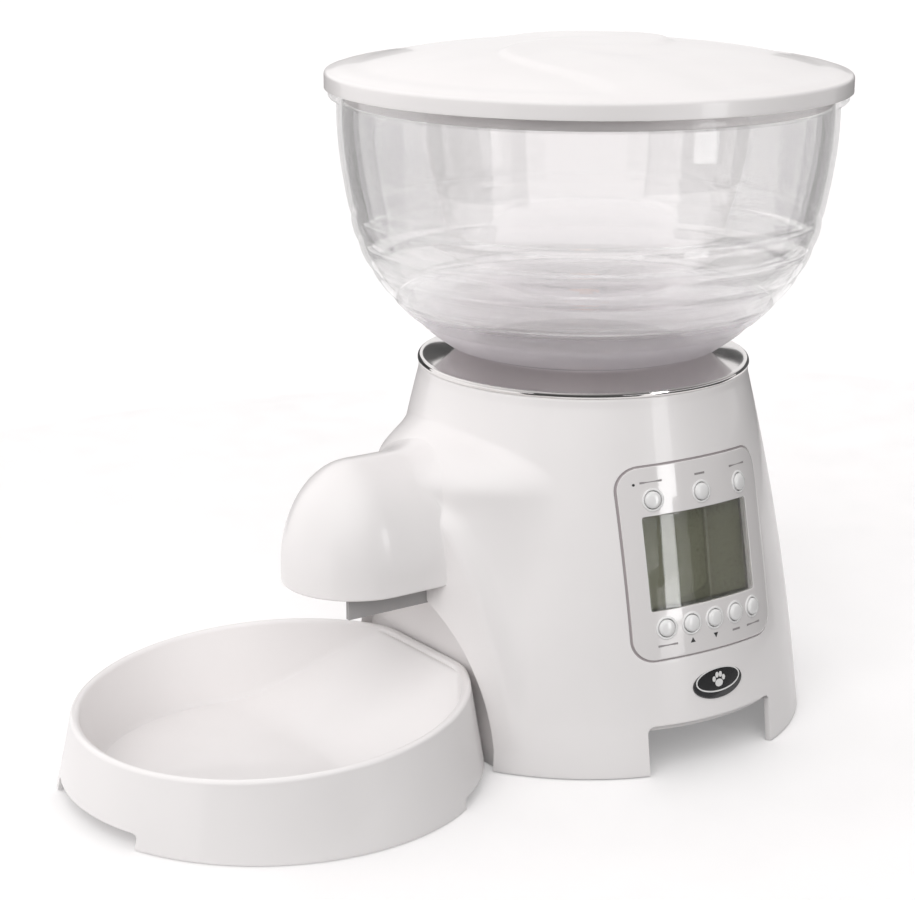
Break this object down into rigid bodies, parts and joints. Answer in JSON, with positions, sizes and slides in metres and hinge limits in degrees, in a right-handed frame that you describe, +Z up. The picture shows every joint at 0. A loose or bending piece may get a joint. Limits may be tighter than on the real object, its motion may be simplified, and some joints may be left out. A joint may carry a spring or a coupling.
{
  "type": "automatic pet feeder",
  "caption": "Automatic pet feeder: clear ribbed hopper with lid, motor-driven paddle wheel in a white housing, spout over a loose food bowl, and a side control panel with display and buttons.",
  "frame": {"origin": "middle of the footprint's bounding box, on the floor", "axes": "+Z up; the food bowl is towards -Y and the lid's far edge is towards +Y; the control panel faces +X"},
  "size_m": [0.216, 0.3482, 0.284],
  "materials": {
    "white_shell": "moulded ABS, gloss",
    "clear_hopper": "clear moulded plastic with soft rings",
    "chrome_trim": "bright plated trim",
    "panel_gloss": "high gloss",
    "button_caps": "domed caps, gloss",
    "display_glass": "clear acrylic lens",
    "display_lcd": "grey-green segment display",
    "backlight": "diffusing block",
    "board_green": "solder mask",
    "inner_white": "moulded plastic, satin",
    "chute_grey": "moulded plastic, satin",
    "panel_print": "printed marks",
    "gear_acetal": "acetal",
    "paddle_hub": "moulded plastic",
    "blade_rubber": "soft silicone",
    "pad_rubber": "soft rubber",
    "steel": "plain steel",
    "brass": "machined",
    "black_plastic": "moulded",
    "badge_dark": "printed oval"
  },
  "bodies": {
    "hopper_assembly": {"hopper": "clear_hopper"},
    "lid_body": {"lid": "white_shell"},
    "paddle_wheel": {"paddle_hub": "paddle_hub", "paddle_blades": "blade_rubber", "paddle_shaft": "steel", "output_gear": "gear_acetal"},
    "idler": {"idler_gear": "gear_acetal"},
    "motor_rotor": {"motor_pinion": "brass", "motor_shaft": "steel"},
    "bowl_body": {"food_bowl": "white_shell", "bowl_pads": "pad_rubber"},
    "battery_cover": {"battery_door": "white_shell"},
    "top_button_left_body": {"top_button_left": "button_caps"},
    "top_button_middle_body": {"top_button_middle": "button_caps"},
    "top_button_right_body": {"top_button_right": "button_caps"},
    "lower_button_1_body": {"lower_button_1": "button_caps"},
    "lower_button_2_body": {"lower_button_2": "button_caps"},
    "lower_button_3_body": {"lower_button_3": "button_caps"},
    "lower_button_4_body": {"lower_button_4": "button_caps"},
    "lower_button_5_body": {"lower_button_5": "button_caps"},
    "base": {"collar_ring": "chrome_trim", "housing": "white_shell", "spout_cover": "white_shell", "feed_chute": "chute_grey", "metering_drum": "inner_white", "outlet_baffle": "inner_white", "shaft_bushing": "brass", "idler_pin": "steel", "motor": "steel", "motor_screws": "steel", "gearbox_base": "inner_white", "gearbox_cover": "inner_white", "gearbox_screws": "steel", "position_switch": "black_plastic", "base_plate": "white_shell", "base_screws": "steel", "foot_pads": "pad_rubber", "battery_tray": "inner_white", "battery_contacts": "steel", "control_panel": "panel_gloss", "display_lens": "display_glass", "display_module": "display_lcd", "display_backlight": "backlight", "circuit_board": "board_green", "board_screws": "steel", "key_switches": "black_plastic", "badge": "badge_dark"}
  },
  "joints": [
    {"name": "hopper_lift", "type": "slide", "parent": "base", "child": "hopper_assembly", "axis": [0, 0, 1], "range_m": [0, 0.05]},
    {"name": "lid_lift", "type": "slide", "parent": "hopper_assembly", "child": "lid_body", "axis": [0, 0, 1], "range_m": [0, 0.05]},
    {"name": "paddle_spin", "type": "hinge", "parent": "base", "child": "paddle_wheel", "pos_m": [0, 0.06611, 0.1], "axis": [0, 0, 1], "continuous": true},
    {"name": "idler_spin", "type": "hinge", "parent": "base", "child": "idler", "pos_m": [0, 0.09611, 0.085], "axis": [0, 0, 1], "continuous": true},
    {"name": "motor_spin", "type": "hinge", "parent": "base", "child": "motor_rotor", "pos_m": [0, 0.11911, 0.085], "axis": [0, 0, 1], "continuous": true},
    {"name": "bowl_pull", "type": "slide", "parent": "base", "child": "bowl_body", "axis": [0, -1, 0], "range_m": [0, 0.12]},
    {"name": "battery_door_drop", "type": "slide", "parent": "base", "child": "battery_cover", "axis": [0, 0, -1], "range_m": [0, 0.013]},
    {"name": "top_button_left_press", "type": "slide", "parent": "base", "child": "top_button_left_body", "axis": [-0.9821, 0, -0.1883], "range_m": [0, 0.0008], "stiffness_N_per_m": 1000, "springref_m": -0.0003},
    {"name": "top_button_middle_press", "type": "slide", "parent": "base", "child": "top_button_middle_body", "axis": [-0.9821, 0, -0.1883], "range_m": [0, 0.0008], "stiffness_N_per_m": 1000, "springref_m": -0.0003},
    {"name": "top_button_right_press", "type": "slide", "parent": "base", "child": "top_button_right_body", "axis": [-0.9821, 0, -0.1883], "range_m": [0, 0.0008], "stiffness_N_per_m": 1000, "springref_m": -0.0003},
    {"name": "lower_button_1_press", "type": "slide", "parent": "base", "child": "lower_button_1_body", "axis": [-0.9821, 0, -0.1883], "range_m": [0, 0.0008], "stiffness_N_per_m": 1000, "springref_m": -0.0003},
    {"name": "lower_button_2_press", "type": "slide", "parent": "base", "child": "lower_button_2_body", "axis": [-0.9821, 0, -0.1883], "range_m": [0, 0.0008], "stiffness_N_per_m": 1000, "springref_m": -0.0003},
    {"name": "lower_button_3_press", "type": "slide", "parent": "base", "child": "lower_button_3_body", "axis": [-0.9821, 0, -0.1883], "range_m": [0, 0.0008], "stiffness_N_per_m": 1000, "springref_m": -0.0003},
    {"name": "lower_button_4_press", "type": "slide", "parent": "base", "child": "lower_button_4_body", "axis": [-0.9821, 0, -0.1883], "range_m": [0, 0.0008], "stiffness_N_per_m": 1000, "springref_m": -0.0003},
    {"name": "lower_button_5_press", "type": "slide", "parent": "base", "child": "lower_button_5_body", "axis": [-0.9821, 0, -0.1883], "range_m": [0, 0.0008], "stiffness_N_per_m": 1000, "springref_m": -0.0003}
  ],
  "couplings": [
    {"joint": "idler_spin", "follows": "paddle_spin", "ratio": -4},
    {"joint": "motor_spin", "follows": "paddle_spin", "ratio": 14.4}
  ]
}
